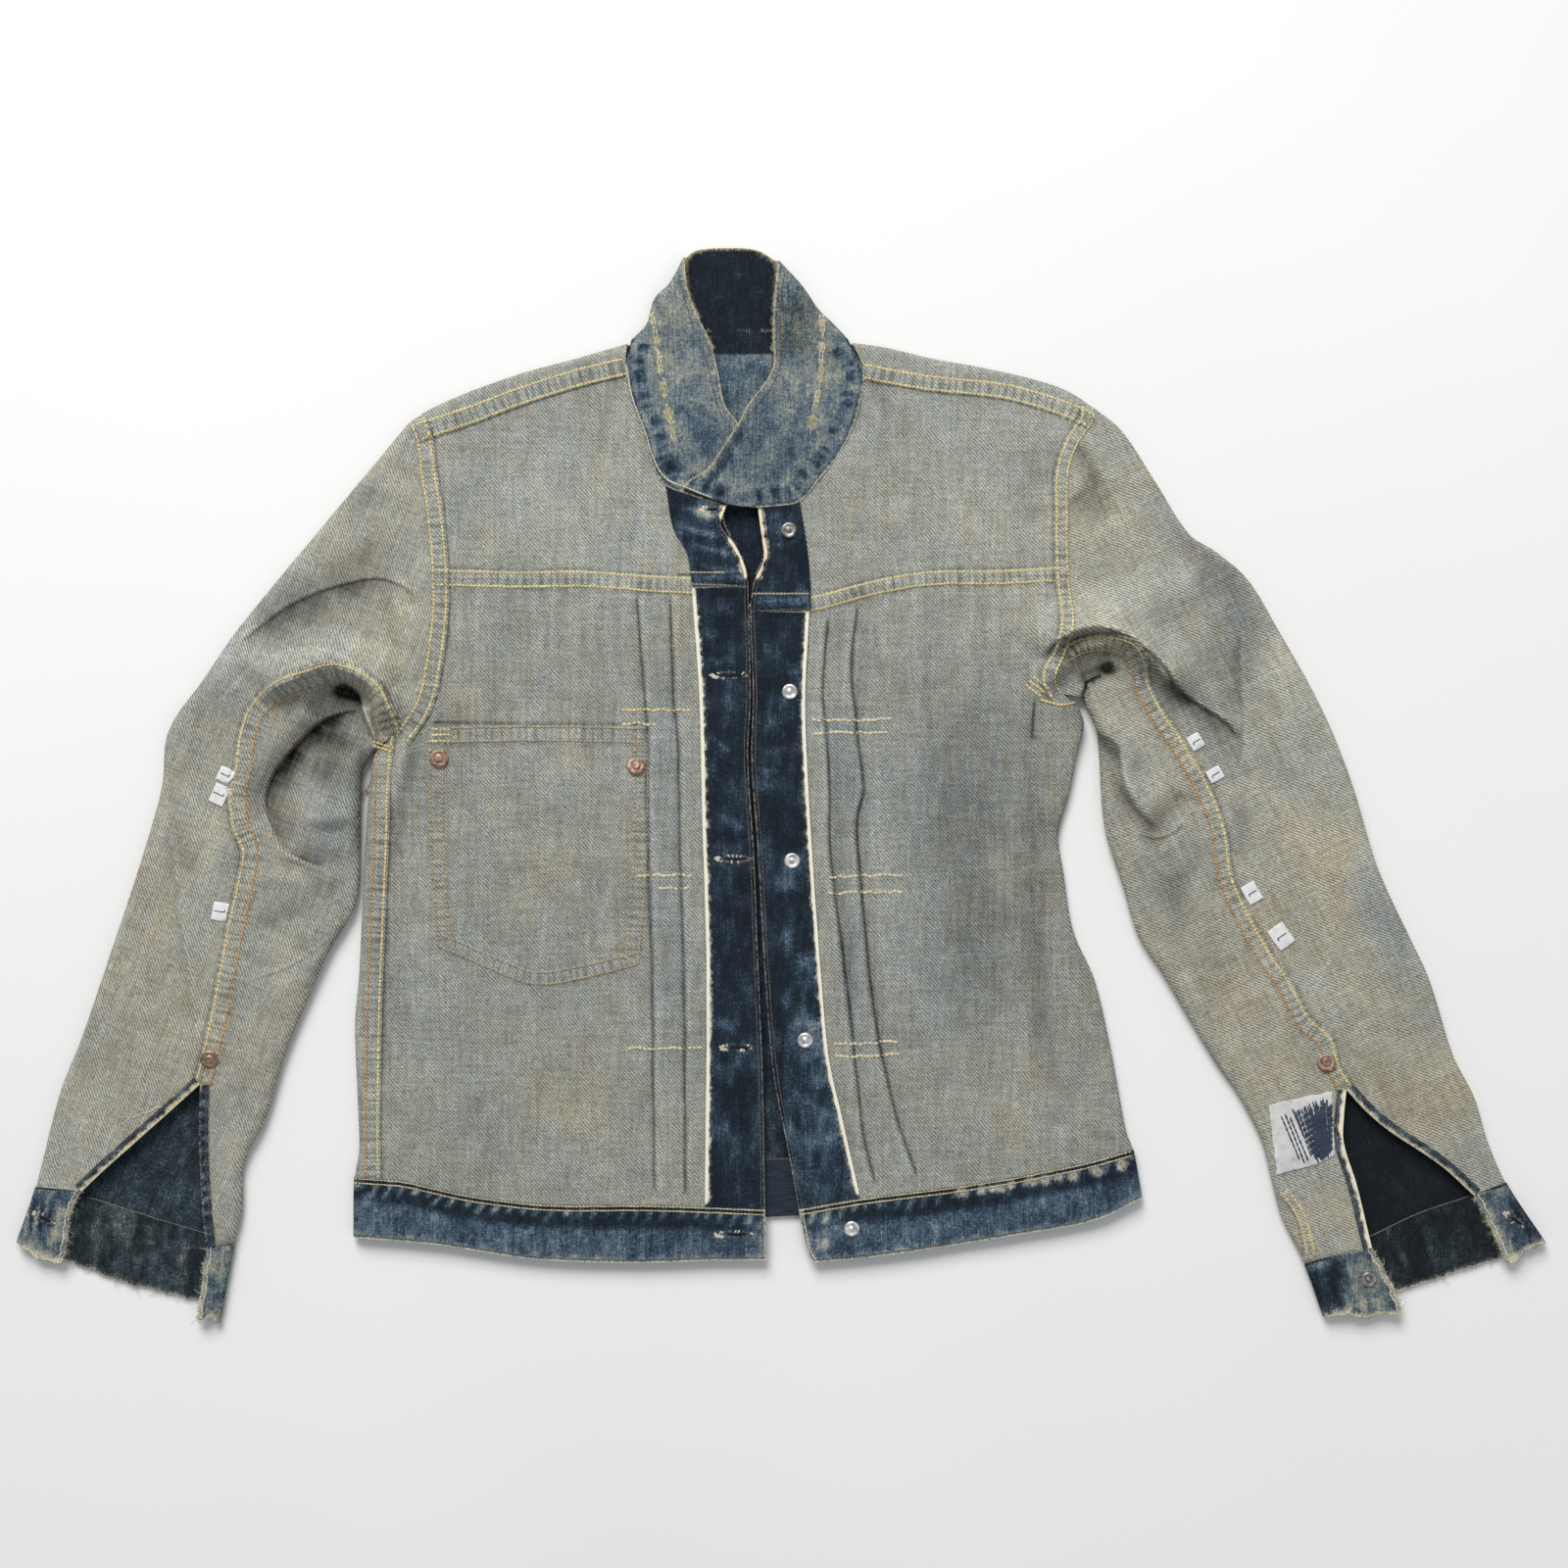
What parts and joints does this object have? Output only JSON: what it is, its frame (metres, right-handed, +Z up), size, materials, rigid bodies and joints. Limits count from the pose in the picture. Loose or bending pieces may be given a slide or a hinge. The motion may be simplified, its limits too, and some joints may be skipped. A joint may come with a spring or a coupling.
{
  "type": "denim jacket turned inside out and laid flat",
  "caption": "Waist-length denim work jacket with a band collar, turned inside out and laid flat front up, showing its seams, facings, worn cuffs and a darned patch.",
  "frame": {"origin": "on the floor, under the middle of the laid jacket's outline", "axes": "+X to the right of the laid jacket as seen from above with the collar at the top, +Y towards the collar, +Z up from the floor"},
  "size_m": [0.9392, 0.6602, 0.0299],
  "materials": {
    "denim_wrong_side": "faded denim, wrong side out, greyed and stained",
    "denim_right_side": "dark indigo denim, right side out, worn pale at the edges",
    "patch_cotton": "white cotton with navy darning",
    "tab_white": "plain white tape",
    "copper": "dull aged copper",
    "silver": "worn bright metal"
  },
  "bodies": {
    "root": {"back": "denim_wrong_side", "yoke_left": "denim_wrong_side", "yoke_right": "denim_wrong_side", "front_left": "denim_wrong_side", "front_right": "denim_wrong_side", "facing_upper_left": "denim_right_side", "facing_upper_right": "denim_right_side", "facing_left": "denim_right_side", "facing_right": "denim_right_side", "waistband": "denim_right_side", "collar": "denim_right_side", "sleeve_left_outer": "denim_wrong_side", "sleeve_left_outer_elbow": "denim_wrong_side", "sleeve_left_outer_lower": "denim_wrong_side", "sleeve_left_under": "denim_wrong_side", "sleeve_left_under_lower": "denim_wrong_side", "sleeve_left_inner": "denim_wrong_side", "sleeve_left_inner_under": "denim_wrong_side", "sleeve_right_outer": "denim_wrong_side", "sleeve_right_under": "denim_wrong_side", "sleeve_right_inner": "denim_wrong_side", "sleeve_right_inner_lower": "denim_wrong_side", "sleeve_right_inner_under": "denim_wrong_side", "cuff_left": "denim_right_side", "cuff_right": "denim_right_side", "slit_strip_left_outer": "denim_right_side", "slit_strip_left_inner": "denim_right_side", "slit_strip_right_outer": "denim_right_side", "slit_strip_right_inner": "denim_right_side", "pocket": "denim_wrong_side", "repair_patch": "patch_cotton", "seam_tab_1": "tab_white", "seam_tab_2": "tab_white", "seam_tab_3": "tab_white", "seam_tab_4": "tab_white", "seam_tab_5": "tab_white", "seam_tab_6": "tab_white", "seam_tab_7": "tab_white", "rivet_pocket_outer": "copper", "rivet_pocket_inner": "copper", "rivet_slit_left": "copper", "rivet_slit_right": "copper", "button_1": "silver", "button_2": "silver", "button_3": "silver", "button_4": "silver", "button_waist": "silver", "button_cuff": "silver", "tack_1": "silver", "tack_2": "silver", "tack_3": "silver", "tack_4": "silver", "tack_waist": "silver", "tack_cuff": "silver"}
  },
  "joints": []
}
